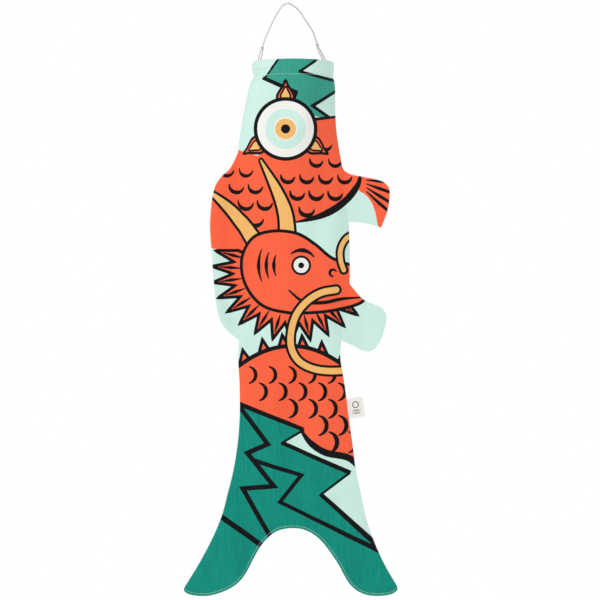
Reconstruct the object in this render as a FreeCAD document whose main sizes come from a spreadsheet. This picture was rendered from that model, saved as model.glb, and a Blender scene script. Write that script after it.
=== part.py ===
"""Carp streamer: a printed cloth fish tube on a flat hoop, hung from a string bridle.

Frame: millimetres, +Z up, the streamer's front faces -Y. The origin is inside the top of the
bridle, where a hook or line carries it. The cloth is two whole panels, front and back, sewn
together down both sides. Each panel is cut here at two fold lines, where the hanging cloth
bends, so that every length is a closed solid.
"""
import FreeCAD, Part
import Sketcher
import math
import os

V = FreeCAD.Vector
doc = FreeCAD.newDocument("carp_streamer")

# ---------------------------------------------------------------- driving dimensions
DIMENSIONS = {
    "rim_z": -76.6,              # top edge of the cloth
    "hoop_x": 7.0,               # the hoop's axis beside the hanging point
    "rim_radius": 54.0,          # outside of the cloth round the hoop
    "cloth": 0.6,                # cloth with its print
    "panel_gap": 0.3,            # between the front and back cloth at the side seams
    "casing_height": 20.0,       # turned-in casing that holds the hoop
    "pocket": 6.2,               # clear depth inside the casing
    "strip_height": 8.0,
    "strip_thick": 1.0,
    "strip_radius": 49.7,        # inside of the hoop strip
    "strip_drop": 1.4,           # top of the strip below the rim
    "joiner_wall": 0.5,
    "joiner_play": 0.1,
    "joiner_angle": 26.0,
    "butt_angle": 1.0,           # open gap between the strip's two ends
    "seam_angle": 0.4,           # open gap between the two casings at a side seam
    "slit_radius": 1.1,
    "cord_radius": 0.9,
    "knot_radius": 2.3,
    "tie_turn": 30.0,            # the tied diameter, turned from the X axis
    "swing_lift": 1.3,           # the bridle's swing axis above the rim
    "waist_z": -465.0,           # fold line between the body and the loin
    "tail_fold_z": -615.0,       # fold line between the loin and the tail
    "fold_gap": 7.0,             # cloth left out of the solids at a fold line
    "hem_width": 6.0,
    "hem_stitch": 3.0,           # the tail's stitch line from its hemmed edge
    "thread_radius": 0.25,
    "thread_lift": 0.3,          # the casing's thread, clear of the cloth
    "label_width": 21.0,
    "label_height": 26.0,
    "label_thick": 0.8,
    "label_x": 81.7,             # foot of the label's sewn edge, just outside the seam
    "label_foot_z": -545.6,
    "label_lean": 9.0,           # the side seam's slant there
}

sheet = doc.addObject("Spreadsheet::Sheet", "Sizes")
for row, (alias, value) in enumerate(DIMENSIONS.items(), start=1):
    sheet.set(f"A{row}", alias)
    sheet.set(f"B{row}", str(value))
    sheet.setAlias(f"B{row}", alias)
doc.recompute()


def size(alias):
    """A driving dimension, read back from the sheet."""
    return float(getattr(sheet, alias))


RIM_Z = size("rim_z")
CLOTH = size("cloth")
HALF_GAP = size("panel_gap") / 2
WAIST_Z = size("waist_z")
TAIL_FOLD_Z = size("tail_fold_z")
HALF_FOLD = size("fold_gap") / 2
FRONT, BACK = -1, 1
REACH = 200.0                # past the tail's edges on every side, for a trimming solid
ARC_SHARE = 0.45             # how much of the shorter run an arc of a cord takes

# Stations down the tube: (height, left edge, right edge, half depth). The tube is round at
# the hoop and falls flat as it hangs. The fins stand outside these edges.
BODY_STATIONS = [
    (RIM_Z, -47.0, 61.0, 54.0),
    (RIM_Z - size("casing_height") / 2, -47.0, 61.0, 54.0),
    (RIM_Z - size("casing_height"), -47.0, 61.0, 54.0),
    (-107.0, -49.8, 62.3, 52.5),
    (-137.0, -56.5, 62.8, 46.0),
    (-168.0, -61.8, 64.5, 38.5),
    (-192.0, -65.0, 68.0, 31.5),
    (-231.0, -65.8, 75.0, 22.5),
    (-279.0, -63.2, 80.0, 15.0),
    (-324.0, -60.5, 81.6, 11.0),
    (-376.0, -59.5, 81.0, 8.5),
    (-422.0, -61.8, 74.0, 7.0),
    (WAIST_Z + HALF_FOLD, -65.0, 68.4, 6.0),
]
LOIN_STATIONS = [
    (WAIST_Z - HALF_FOLD, -64.5, 69.5, 6.0),
    (-500.0, -63.2, 73.7, 6.5),
    (-547.0, -63.2, 81.0, 6.8),
    (-579.0, -65.8, 85.5, 6.5),
    (TAIL_FOLD_Z + HALF_FOLD, -69.7, 89.5, 6.0),
]
TAIL_STATIONS = [
    (TAIL_FOLD_Z - HALF_FOLD, -72.4, 90.8, 6.0),
    (-642.0, -78.3, 96.0, 6.3),
    (-674.0, -86.8, 102.8, 6.5),
    (-705.0, -100.0, 113.2, 6.0),
    (-737.0, -117.0, 127.6, 5.2),
    (-768.0, -136.0, 145.5, 4.2),
    (-782.0, -145.0, 154.0, 4.0),
]

# Fin outlines in the front view, along the free edge from the fin's top. Each one's closing
# line runs just inside the tube.
BACK_FIN = [
    (-61.5, -187.0), (-69.7, -205.0), (-76.3, -217.0), (-85.5, -225.5), (-94.1, -237.0),
    (-98.7, -252.5), (-101.3, -274.0), (-102.0, -298.0), (-100.0, -326.0), (-98.0, -356.5),
    (-95.4, -384.0), (-91.4, -408.0), (-85.5, -422.4), (-77.6, -431.6), (-61.5, -445.0),
]
BACK_FIN_ROOT = -57.0
BREAST_FIN = [
    (72.0, -217.0), (82.9, -223.7), (101.3, -227.6), (119.7, -231.6), (128.9, -236.2),
    (134.2, -244.0), (134.2, -258.0), (131.6, -272.4), (127.0, -285.5), (123.0, -294.7),
]
BREAST_FIN_FOOT = [(123.0, -294.7), (115.8, -292.1), (98.7, -288.2), (77.0, -286.0)]
BELLY_FIN = [
    (78.5, -364.0), (86.8, -374.3), (101.3, -389.5), (121.1, -398.0), (127.8, -404.6),
    (130.3, -413.5), (128.3, -425.0), (124.3, -438.2), (118.0, -450.0), (109.2, -457.2),
    (98.7, -456.0), (85.5, -449.3), (66.0, -441.0),
]

# The tail's hemmed edge: left lobe's foot, the fork's arch, right lobe's foot.
HEM_LINE = [
    (-141.0, -766.0), (-132.9, -775.6), (-119.7, -778.6), (-103.9, -778.0), (-88.2, -773.7),
    (-73.7, -767.0), (-61.8, -757.5), (-52.6, -744.8), (-44.7, -729.5), (-35.5, -713.5),
    (-25.0, -701.3), (-13.2, -692.8), (1.3, -689.2), (17.1, -689.7), (31.0, -695.0),
    (44.7, -706.0), (56.6, -721.1), (67.1, -737.0), (75.0, -752.0), (82.9, -764.0),
    (93.4, -772.8), (106.6, -777.6), (125.0, -778.3), (139.5, -775.6), (150.0, -766.0),
]

# The bridle's string, from the left knot over the hanging point to the right knot.
BRIDLE_ROUTE = [
    (-33.0, -22.0, -59.5), (-29.3, -18.5, -46.9), (-23.4, -15.0, -34.6), (-18.6, -11.5, -22.5),
    (-12.7, -8.0, -11.7), (-6.9, -4.2, -2.6), (0.5, 0.0, 1.9), (9.0, 5.2, -2.4),
    (17.3, 10.0, -9.4), (22.9, 13.6, -19.0), (29.9, 17.0, -28.2), (34.6, 19.6, -36.6),
    (37.0, 21.0, -44.0), (39.5, 22.0, -51.7),
]


# ---------------------------------------------------------------- helpers
def piece(label, shape):
    """A piece whose shape comes straight from Part's functions."""
    obj = doc.addObject("Part::Feature", label)
    obj.Shape = shape
    obj.Label = label
    return obj


def bind(obj, **expressions):
    """Tie an object's properties to the sheet."""
    for name, expression in expressions.items():
        obj.setExpression(name, expression)


def turned(label, loops, start, sweep):
    """A PartDesign body: closed loops of (radius, height) expressions, turned about the
    hoop's axis through the sweep expression. Heights are measured from the rim."""
    body = doc.addObject("PartDesign::Body", label)
    body.Label = label
    sketch = body.newObject("Sketcher::SketchObject", label + "_profile")
    plane = next(f for f in body.Origin.OriginFeatures if f.Role == "XZ_Plane")
    sketch.AttachmentSupport = [(plane, "")]
    sketch.MapMode = "FlatFace"
    for loop in loops:
        corners = [V(sketch.evalExpression(r), sketch.evalExpression(h), 0) for r, h in loop]
        first = sketch.GeometryCount
        for here, there in zip(corners, corners[1:] + corners[:1]):
            sketch.addGeometry(Part.LineSegment(here, there), False)
        for k, (r, h) in enumerate(loop):
            last = first + (k - 1) % len(loop)
            sketch.addConstraint(Sketcher.Constraint("Coincident", last, 2, first + k, 1))
            for kind, expression, number in (("DistanceX", r, corners[k].x),
                                             ("DistanceY", h, corners[k].y)):
                at = sketch.addConstraint(
                    Sketcher.Constraint(kind, -1, 1, first + k, 1, number))
                sketch.setExpression(f"Constraints[{at}]", expression)
    turn = body.newObject("PartDesign::Revolution", label + "_turn")
    turn.Profile = sketch
    turn.ReferenceAxis = (sketch, ["V_Axis"])
    turn.setExpression("Angle", sweep)
    body.Placement = FreeCAD.Placement(V(size("hoop_x"), 0, RIM_Z),
                                       FreeCAD.Rotation(V(0, 0, 1), start))
    return body


def rectangle(inner, outer, low, high):
    """A loop of four corners from radius and height expressions."""
    return [(inner, low), (outer, low), (outer, high), (inner, high)]


def half_ring(station, side, inset=0.0, thick=CLOTH):
    """A thin half ellipse of cloth at one station, between the two side seams. inset moves
    it into the tube, for a turned-in ply."""
    height, left, right, depth = station
    centre = V((left + right) / 2, side * HALF_GAP, height)
    first = math.pi if side == FRONT else 0.0
    arcs = []
    for shrink in (inset, inset + thick):
        ellipse = Part.Ellipse(centre, (right - left) / 2 - shrink, depth - shrink)
        arcs.append(Part.ArcOfEllipse(ellipse, first, first + math.pi))
    outer, inner = arcs
    ends = [Part.LineSegment(outer.EndPoint, inner.EndPoint),
            Part.LineSegment(inner.StartPoint, outer.StartPoint)]
    return Part.Wire([outer.toShape(), ends[0].toShape(), inner.toShape(), ends[1].toShape()])


def lofted(label, stations, side, inset=0.0, thick=CLOTH):
    """A length of one panel: a loft through its stations."""
    rings = []
    for k, station in enumerate(stations):
        rings.append(piece(f"{label}_ring_{k}", half_ring(station, side, inset, thick)))
    loft = doc.addObject("Part::Loft", label)
    loft.Sections = rings
    loft.Solid = True
    loft.Ruled = False
    return loft


def spline(points, y=0.0):
    """A smooth edge through (x, z) points of the front view."""
    curve = Part.BSplineCurve()
    curve.interpolate([V(x, y, z) for x, z in points])
    return curve.toShape()


def slab(label, edges, y, depth, root=None):
    """An outline in the front view, made solid from y along +Y. The outline closes with a
    straight line, or round the line x = root."""
    start, end = edges[0].Vertexes[0].Point, edges[-1].Vertexes[-1].Point
    closing = [end, start] if root is None else [end, V(root, 0, end.z), V(root, 0, start.z),
                                                 start]
    closing = [Part.LineSegment(a, b).toShape() for a, b in zip(closing, closing[1:])]
    outline = piece(label + "_outline", Part.Face(Part.Wire(edges + closing)))
    solid = doc.addObject("Part::Extrusion", label)
    solid.Base = outline
    solid.DirMode = "Custom"
    solid.Dir = V(0, 1, 0)
    solid.LengthFwd = depth
    solid.Solid = True
    solid.Placement.Base = V(0, y, 0)
    return solid


def cord(points, radius, label):
    """A round cord along straight runs joined by tangent arcs, each as large as its two
    runs allow."""
    corners = [V(*p) for p in points]
    edges, here, radii = [], corners[0], []
    for before, corner, after in zip(corners, corners[1:], corners[2:]):
        to, away = (corner - before), (after - corner)
        turn = to.getAngle(away)
        cut = ARC_SHARE * min(to.Length, away.Length)
        radii.append(cut / math.tan(turn / 2))
        to.normalize()
        away.normalize()
        start, end = corner - to * cut, corner + away * cut
        inward = (away - to).normalize()
        reach = radii[-1] / math.cos(turn / 2) - radii[-1]
        edges.append(Part.LineSegment(here, start).toShape())
        edges.append(Part.Arc(start, corner + inward * reach, end).toShape())
        here = end
    edges.append(Part.LineSegment(here, corners[-1]).toShape())
    path = Part.Wire(edges)
    section = Part.Wire(Part.Circle(corners[0], corners[1] - corners[0], radius).toShape())
    tube = path.makePipeShell([section], True, False)
    expected = math.pi * radius ** 2 * path.Length
    print(f"{label}: length {path.Length:.1f}, radii",
          " ".join(f"{r:.1f}" for r in radii), f"volume ratio {tube.Volume / expected:.4f}")
    return tube


def line_inside(points, distance):
    """An edge line of the front view moved into the cloth, square to itself."""
    moved = []
    for k, (x, z) in enumerate(points):
        before, after = points[max(k - 1, 0)], points[min(k + 1, len(points) - 1)]
        run, rise = after[0] - before[0], after[1] - before[1]
        length = math.hypot(run, rise)
        moved.append((x - distance * rise / length, z + distance * run / length))
    return moved


def tube_depth(stations, x, z):
    """Half depth of the tube at a place in the front view, or None outside its edges."""
    for above, below in zip(stations, stations[1:]):
        if below[0] <= z <= above[0]:
            share = (above[0] - z) / (above[0] - below[0])
            left, right, depth = (a + share * (b - a) for a, b in zip(above[1:], below[1:]))
            along = (2 * x - left - right) / (right - left)
            return depth * math.sqrt(1 - along ** 2) if abs(along) < 1 else None
    return None


def tie_point(radius, end, height):
    """A point on the tied diameter: end is -1 at the left tie and 1 at the right one."""
    turn = math.radians(size("tie_turn"))
    return V(size("hoop_x") + end * radius * math.cos(turn), end * radius * math.sin(turn),
             RIM_Z + height)


# ---------------------------------------------------------------- cloth panels
def body_panel(name, side):
    """The upper length of a panel, with its three fins."""
    ply = side * HALF_GAP - (CLOTH if side == FRONT else 0.0)
    breast = [spline(BREAST_FIN), spline(BREAST_FIN_FOOT)]
    panel = doc.addObject("Part::MultiFuse", f"{name}_panel_upper")
    panel.Shapes = [
        lofted(f"{name}_tube", BODY_STATIONS, side),
        slab(f"{name}_back_fin", [spline(BACK_FIN)], ply, CLOTH,
             root=BACK_FIN_ROOT),
        slab(f"{name}_breast_fin", breast, ply, CLOTH),
        slab(f"{name}_belly_fin", [spline(BELLY_FIN)], ply, CLOTH),
    ]
    return panel


def tail_panel(name, side):
    """The lower length of a panel, trimmed along the hemmed edge."""
    (left, left_z), (right, right_z) = HEM_LINE[0], HEM_LINE[-1]
    corners = [V(right, 0, right_z), V(REACH, 0, right_z), V(REACH, 0, TAIL_FOLD_Z),
               V(-REACH, 0, TAIL_FOLD_Z), V(-REACH, 0, left_z)]
    sides = [Part.LineSegment(a, b).toShape() for a, b in zip(corners, corners[1:])]
    panel = doc.addObject("Part::MultiCommon", f"{name}_panel_lower")
    panel.Shapes = [
        lofted(f"{name}_tail_tube", TAIL_STATIONS, side),
        slab(f"{name}_tail_trim", [spline(HEM_LINE)] + sides, -REACH / 2, REACH),
    ]
    return panel


def tail_hem(name, side):
    """The tail's turned-in hem: a second ply inside the panel, along the hemmed edge."""
    inner = line_inside(HEM_LINE, size("hem_width"))
    step = Part.LineSegment(V(HEM_LINE[-1][0], 0, HEM_LINE[-1][1]),
                            V(inner[-1][0], 0, inner[-1][1])).toShape()
    play = 0.1
    hem = doc.addObject("Part::MultiCommon", f"{name}_tail_hem")
    hem.Shapes = [
        lofted(f"{name}_hem_tube", TAIL_STATIONS, side, inset=CLOTH + play, thick=CLOTH - play),
        slab(f"{name}_hem_band", [spline(HEM_LINE), step, spline(inner[::-1])], -REACH / 2,
             REACH),
    ]
    return hem


def hem_thread(name, side):
    """The tail's top stitching: one thread on the panel's face."""
    radius = size("thread_radius")
    route = []
    for x, z in line_inside(HEM_LINE, size("hem_stitch")):
        depth = tube_depth(TAIL_STATIONS, x, z)
        if depth is not None:
            route.append((x, side * (HALF_GAP + depth + 1.5 * radius), z))
    return piece(f"{name}_hem_thread", cord(route, radius, f"{name}_hem_thread"))


def casing(name, start, end):
    """The panel's top edge, turned in over the hoop strip and stitched down: the fold, the
    inner ply and its foot. Two slits in the fold let the bridle's string in."""
    outer = "Sizes.rim_radius - Sizes.cloth"
    inner = outer + " - Sizes.pocket - Sizes.cloth"
    foot = "-Sizes.casing_height"
    loop = [(outer, "0"), (inner, "0"), (inner, foot), (outer, foot),
            (outer, foot + " + Sizes.cloth"), (inner + " + Sizes.cloth", foot + " + Sizes.cloth"),
            (inner + " + Sizes.cloth", "-Sizes.cloth"), (outer, "-Sizes.cloth")]
    ply = turned(f"{name}_casing_ply", [loop], start + size("seam_angle") / 2,
                 "180 - Sizes.seam_angle")
    slits = []
    for k, radius in enumerate(STRAND_RADII):
        slit = doc.addObject("Part::Cylinder", f"{name}_slit_{k}")
        bind(slit, Radius="Sizes.slit_radius", Height="4 * Sizes.cloth")
        slit.Placement.Base = tie_point(radius, end, -3 * CLOTH)
        slits.append(slit)
    both = doc.addObject("Part::MultiFuse", f"{name}_slits")
    both.Shapes = slits
    cut = doc.addObject("Part::Cut", f"{name}_casing")
    cut.Base = ply
    cut.Tool = both
    return cut


# ---------------------------------------------------------------- hoop
def hoop_strip():
    """A flat plastic strip bent into a ring, its two ends butted at the back."""
    foot = "-Sizes.strip_drop - Sizes.strip_height"
    loop = rectangle("Sizes.strip_radius", "Sizes.strip_radius + Sizes.strip_thick", foot,
                     "-Sizes.strip_drop")
    return turned("hoop_strip", [loop], 90 + size("butt_angle") / 2, "360 - Sizes.butt_angle")


def hoop_joiner():
    """A short sleeve over the strip's butted ends."""
    play, wall = "Sizes.joiner_play", "Sizes.joiner_wall"
    loops = []
    for grow in (f"({play} + {wall})", play):
        loops.append(rectangle(
            f"Sizes.strip_radius - {grow}", f"Sizes.strip_radius + Sizes.strip_thick + {grow}",
            f"-Sizes.strip_drop - Sizes.strip_height - {grow}", f"-Sizes.strip_drop + {grow}"))
    return turned("hoop_joiner", loops, 90 - size("joiner_angle") / 2, "Sizes.joiner_angle")


# ---------------------------------------------------------------- bridle
def hitch(name, end):
    """The string's turn round the hoop strip, hidden in the casing. The bend starts just
    above the strip's foot."""
    outer, inner = STRAND_RADII
    bend = (outer - inner) / 2
    top = -CLOTH
    turn = -size("strip_drop") - size("strip_height") + STRIP_PLAY
    points = [tie_point(outer, end, top), tie_point(outer, end, turn),
              tie_point(inner, end, turn), tie_point(inner, end, top)]
    under = tie_point(outer - bend, end, turn - bend)
    path = Part.Wire([Part.LineSegment(points[0], points[1]).toShape(),
                      Part.Arc(points[1], under, points[2]).toShape(),
                      Part.LineSegment(points[2], points[3]).toShape()])
    section = Part.Wire(Part.Circle(points[0], V(0, 0, 1), size("cord_radius")).toShape())
    return piece(f"{name}_hitch", path.makePipeShell([section], True, False))


def loop(name, end, knot):
    """The string's loop above the rim: two strands that bow apart and meet in the knot."""
    shoulder = V(*knot) - V(0, 0, size("knot_radius"))
    outward = V(end, end / 2, 0)
    strands = []
    for radius, turn, bow in zip(STRAND_RADII, (1, -1), STRAND_BOWS):
        foot = tie_point(radius, end, size("swing_lift"))
        near = shoulder + outward * turn * STRAND_SPREAD
        middle = (foot + near) / 2 + V(end * bow, 0, 0)
        strands.append(cord([foot, middle, near], size("cord_radius"), f"{name}_loop"))
    return piece(f"{name}_loop", Part.makeCompound(strands))


def knot(name, centre):
    ball = doc.addObject("Part::Sphere", f"{name}_knot")
    bind(ball, Radius="Sizes.knot_radius")
    ball.Placement.Base = V(*centre)
    return ball


def casing_thread():
    """The casing's stitching: one thread round the tube."""
    ring = doc.addObject("Part::Torus", "casing_thread")
    bind(ring, Radius1="Sizes.rim_radius + Sizes.thread_radius + Sizes.thread_lift",
         Radius2="Sizes.thread_radius")
    ring.Placement.Base = V(size("hoop_x"), 0, RIM_Z - size("casing_height"))
    return ring


def seam_label():
    """A folded woven label, sewn into the right side seam along its left edge."""
    box = doc.addObject("Part::Box", "seam_label")
    bind(box, Length="Sizes.label_width", Width="Sizes.label_thick",
         Height="Sizes.label_height")
    lean = FreeCAD.Rotation(V(0, 1, 0), -size("label_lean"))
    foot = V(size("label_x"), -size("label_thick") / 2, size("label_foot_z"))
    box.Placement = FreeCAD.Placement(foot, lean)
    return box


# ---------------------------------------------------------------- assembly
STRIP_PLAY = 0.3             # clear air between the string and the hoop strip
STRIP_MIDDLE = size("strip_radius") + size("strip_thick") / 2
STRAND_OFFSET = size("strip_thick") / 2 + size("cord_radius") + STRIP_PLAY
STRAND_RADII = (STRIP_MIDDLE + STRAND_OFFSET, STRIP_MIDDLE - STRAND_OFFSET)
STRAND_SPREAD = 1.0          # half the gap between a loop's strands under its knot
STRAND_BOWS = (0.8, -0.4)    # how far the outer and inner strands bow away from the middle

pieces = [hoop_strip(), hoop_joiner(), casing_thread(), seam_label(),
          casing("front", 180, -1), casing("back", 0, 1),
          piece("bridle_cord", cord(BRIDLE_ROUTE, size("cord_radius"), "bridle_cord"))]
for name, side in (("front", FRONT), ("back", BACK)):
    middle = lofted(f"{name}_panel_middle", LOIN_STATIONS, side)
    pieces += [body_panel(name, side), middle, tail_panel(name, side), tail_hem(name, side),
               hem_thread(name, side)]
for name, end, centre in (("left", -1, BRIDLE_ROUTE[0]), ("right", 1, BRIDLE_ROUTE[-1])):
    pieces += [hitch(name, end), loop(name, end, centre), knot(name, centre)]

doc.recompute()
for obj in doc.Objects:
    if "Invalid" in obj.State or "Error" in obj.State:
        raise RuntimeError(f"{obj.Label} did not recompute: {obj.State}")
os.makedirs("parts", exist_ok=True)
for obj in pieces:
    obj.Label = obj.Name
    shape = obj.Shape
    if shape.isNull() or not shape.isValid():
        raise RuntimeError(f"{obj.Label} has no valid shape")
    print(f"{obj.Label}: {len(shape.Solids)} solid(s), {shape.Volume:.0f} mm3")
    shape.exportStep(f"parts/{obj.Label}.step")
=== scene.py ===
"""Looks of the carp streamer: printed cloth, stitching, string bridle and woven label.

The cloth is worked out in millimetres on a flat cut: u runs across a panel along the cloth, v
runs up it and over the turned-in rim. The print is laid out as it looks from the front. Every
piece is made in metres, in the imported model's frame.
"""
import math

import bpy
import numpy as np
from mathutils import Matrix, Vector
from mathutils.geometry import delaunay_2d_cdt
from mathutils.kdtree import KDTree


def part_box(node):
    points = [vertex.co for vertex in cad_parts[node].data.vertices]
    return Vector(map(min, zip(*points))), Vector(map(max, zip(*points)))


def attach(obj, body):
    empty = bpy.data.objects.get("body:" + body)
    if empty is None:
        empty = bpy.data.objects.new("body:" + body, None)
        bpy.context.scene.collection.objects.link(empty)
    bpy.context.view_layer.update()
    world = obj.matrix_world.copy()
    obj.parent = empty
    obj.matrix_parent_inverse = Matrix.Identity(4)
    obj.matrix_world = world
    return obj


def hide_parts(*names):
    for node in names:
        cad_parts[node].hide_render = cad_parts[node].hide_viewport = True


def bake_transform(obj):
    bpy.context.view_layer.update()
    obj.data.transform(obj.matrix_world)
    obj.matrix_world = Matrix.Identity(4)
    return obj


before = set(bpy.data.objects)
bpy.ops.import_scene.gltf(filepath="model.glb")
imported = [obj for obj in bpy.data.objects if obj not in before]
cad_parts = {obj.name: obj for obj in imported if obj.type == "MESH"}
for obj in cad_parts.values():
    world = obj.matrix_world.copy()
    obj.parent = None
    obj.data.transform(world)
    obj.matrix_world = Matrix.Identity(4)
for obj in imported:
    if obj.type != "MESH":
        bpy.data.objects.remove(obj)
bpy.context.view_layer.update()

# -------- sizes, in millimetres
MM = 0.001
FRONT, BACK = -1, 1
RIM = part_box("front_casing")[1].z / MM
RIM_RADIUS = -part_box("front_panel_upper")[0].y / MM
strip_low, strip_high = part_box("hoop_strip")
HOOP_X = (strip_low.x + strip_high.x) / 2 / MM
STRIP_RADIUS = (strip_high.x - strip_low.x) / 2 / MM - 0.5    # the middle of its thickness
FOLD = RIM_RADIUS - STRIP_RADIUS          # radius of the casing's fold over the strip
FOLD_START = RIM - FOLD
FOLD_SQUARE = 0.62                        # 1 is a round fold; less has squarer shoulders
STRIP_FOOT = strip_low.z / MM
CASING_STITCH = RIM - 20.0
INNER_LEG = 18.0                          # the casing's turned-in ply, below the fold
TOP = FOLD_START + math.pi * FOLD + INNER_LEG
SIDE_FOOT = -760.0                        # a panel's sides are drawn to here, then to the hem
SPLIT = -545.0                            # where a panel is cut between two pieces
WAIST, TAIL_FOLD = -465.0, -615.0         # two heights down the hanging cloth, passed to bend
CLOTH = 0.35
SEAM_GAP = 0.8                            # half the room between the plies beside a seam
SEAM_ROUND = 2.6                          # how far from the seam the plies come together
HEM_WIDTH, HEM_STITCH = 6.0, 3.0
HEM_GAP, HEM_THINNER = 0.25, 0.8          # between the hem's plies; the pressed ply's share
CURVE_STEP, LINE_STEP, BRUSH_STEP = 2.5, 3.0, 2.0     # how finely lines are divided
TIE_TURN = math.radians(30)

# Stations down the tube: (height, left edge, right edge, half depth)
STATIONS = [
    (RIM, -47.0, 61.0, 54.0), (RIM - 10, -47.0, 61.0, 54.0), (RIM - 20, -47.0, 61.0, 54.0),
    (-107.0, -49.8, 62.3, 52.5), (-137.0, -56.5, 62.8, 46.0), (-168.0, -61.8, 64.5, 38.5),
    (-192.0, -65.0, 68.0, 31.5), (-231.0, -65.8, 75.0, 22.5), (-279.0, -63.2, 80.0, 15.0),
    (-324.0, -60.5, 81.6, 11.0), (-376.0, -59.5, 81.0, 8.5), (-422.0, -61.8, 74.0, 7.0),
    (-461.5, -65.0, 69.4, 6.0), (-500.0, -63.2, 75.0, 6.5), (-547.0, -63.2, 81.0, 6.8),
    (-579.0, -65.8, 85.5, 6.5), (-618.5, -72.4, 90.8, 6.0), (-642.0, -78.3, 96.0, 6.3),
    (-674.0, -86.8, 102.8, 6.5), (-705.0, -100.0, 113.2, 6.0), (-737.0, -117.0, 127.6, 5.2),
    (-768.0, -136.0, 145.5, 4.2), (-782.0, -145.0, 154.0, 4.0),
]
BACK_FIN = [
    (-61.5, -187.0), (-69.7, -205.0), (-76.3, -217.0), (-85.5, -225.5), (-94.1, -237.0),
    (-98.7, -252.5), (-101.3, -274.0), (-102.0, -298.0), (-100.0, -326.0), (-98.0, -356.5),
    (-95.4, -384.0), (-91.4, -408.0), (-85.5, -422.4), (-77.6, -431.6), (-61.5, -445.0),
]
BREAST_FIN = [
    (72.0, -217.0), (82.9, -223.7), (101.3, -227.6), (119.7, -231.6), (128.9, -236.2),
    (134.2, -244.0), (134.2, -258.0), (131.6, -272.4), (127.0, -285.5), (123.0, -294.7),
]
BREAST_FIN_FOOT = [(123.0, -294.7), (115.8, -292.1), (98.7, -288.2), (77.0, -286.0)]
BELLY_FIN = [
    (78.5, -364.0), (86.8, -374.3), (101.3, -389.5), (121.1, -398.0), (127.8, -404.6),
    (130.3, -413.5), (128.3, -425.0), (124.3, -438.2), (118.0, -450.0), (109.2, -457.2),
    (98.7, -456.0), (85.5, -449.3), (66.0, -441.0),
]
HEM_LINE = [
    (-141.0, -766.0), (-132.9, -775.6), (-119.7, -778.6), (-103.9, -778.0), (-88.2, -773.7),
    (-73.7, -767.0), (-61.8, -757.5), (-52.6, -744.8), (-44.7, -729.5), (-35.5, -713.5),
    (-25.0, -701.3), (-13.2, -692.8), (1.3, -689.2), (17.1, -689.7), (31.0, -695.0),
    (44.7, -706.0), (56.6, -721.1), (67.1, -737.0), (75.0, -752.0), (82.9, -764.0),
    (93.4, -772.8), (106.6, -777.6), (125.0, -778.3), (139.5, -775.6), (150.0, -766.0),
]
BRIDLE_ROUTE = [
    (-33.0, -22.0, -59.5), (-29.3, -18.5, -46.9), (-23.4, -15.0, -34.6), (-18.6, -11.5, -22.5),
    (-12.7, -8.0, -11.7), (-6.9, -4.2, -2.6), (0.5, 0.0, 1.9), (9.0, 5.2, -2.4),
    (17.3, 10.0, -9.4), (22.9, 13.6, -19.0), (29.9, 17.0, -28.2), (34.6, 19.6, -36.6),
    (37.0, 21.0, -44.0), (39.5, 22.0, -51.7),
]


# -------- camera, light, floor
EYE_POINT = (16.4, -3267.0, -389.5)
SENSOR_WIDTH, FOCAL_LENGTH = 36.0, 148.97
STREAMER_MIDDLE = (0.0, 0.0, -0.36)
FLOOR_LEVEL, FLOOR_RADIUS = -1.6, 6.5     # in metres: well below the hanging streamer
LOW_SURROUND = (0.62, 0.63, 0.65, 1)
WHITE_ABOVE = 0.42                        # the share of the surround's height that is shaded


def make_camera():
    data = bpy.data.cameras.new("camera")
    data.sensor_width, data.lens = SENSOR_WIDTH, FOCAL_LENGTH
    camera = bpy.data.objects.new("camera", data)
    camera.location = Vector(EYE_POINT) * MM
    camera.rotation_euler = (math.radians(90), 0, 0)
    bpy.context.collection.objects.link(camera)
    bpy.context.scene.camera = camera


def area_light(name, place, target, size, power, colour):
    data = bpy.data.lights.new(name, "AREA")
    data.size, data.energy, data.color = size, power, colour
    light = bpy.data.objects.new(name, data)
    light.location = place
    aim = Vector(target) - Vector(place)
    light.rotation_euler = aim.to_track_quat("-Z", "Y").to_euler()
    bpy.context.collection.objects.link(light)


def make_studio():
    """A surround that is white but for its lower part, two soft lights, a round pale floor."""
    world = bpy.data.worlds.new("studio")
    world.use_nodes = True
    tree = world.node_tree
    place = tree.nodes.new("ShaderNodeTexCoord")
    height = tree.nodes.new("ShaderNodeSeparateXYZ")
    lift = tree.nodes.new("ShaderNodeMath")
    lift.operation = "MULTIPLY_ADD"
    lift.inputs[1].default_value, lift.inputs[2].default_value = 0.5, 0.5
    shade = tree.nodes.new("ShaderNodeValToRGB")
    shade.color_ramp.elements[0].color = LOW_SURROUND
    shade.color_ramp.elements[1].position = WHITE_ABOVE
    for source, socket in ((place.outputs["Generated"], height.inputs[0]),
                           (height.outputs["Z"], lift.inputs[0]),
                           (lift.outputs[0], shade.inputs[0]),
                           (shade.outputs[0], tree.nodes["Background"].inputs["Color"])):
        tree.links.new(source, socket)
    bpy.context.scene.world = world
    bpy.context.scene.view_settings.view_transform = "Standard"
    area_light("key", (-1.1, -1.3, 0.6), STREAMER_MIDDLE, 0.7, 13.5, (1.0, 0.99, 0.97))
    area_light("fill", (1.6, -1.2, -0.2), STREAMER_MIDDLE, 1.6, 2, (0.95, 0.98, 1.0))
    bpy.ops.mesh.primitive_circle_add(vertices=128, radius=FLOOR_RADIUS, fill_type="NGON",
                                      location=(0.0, 0.0, FLOOR_LEVEL))
    floor = bpy.context.object
    floor.name = "floor"
    floor.data.materials.append(floor_material("floor_paint", (0.74, 0.74, 0.73), 0.7))


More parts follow.
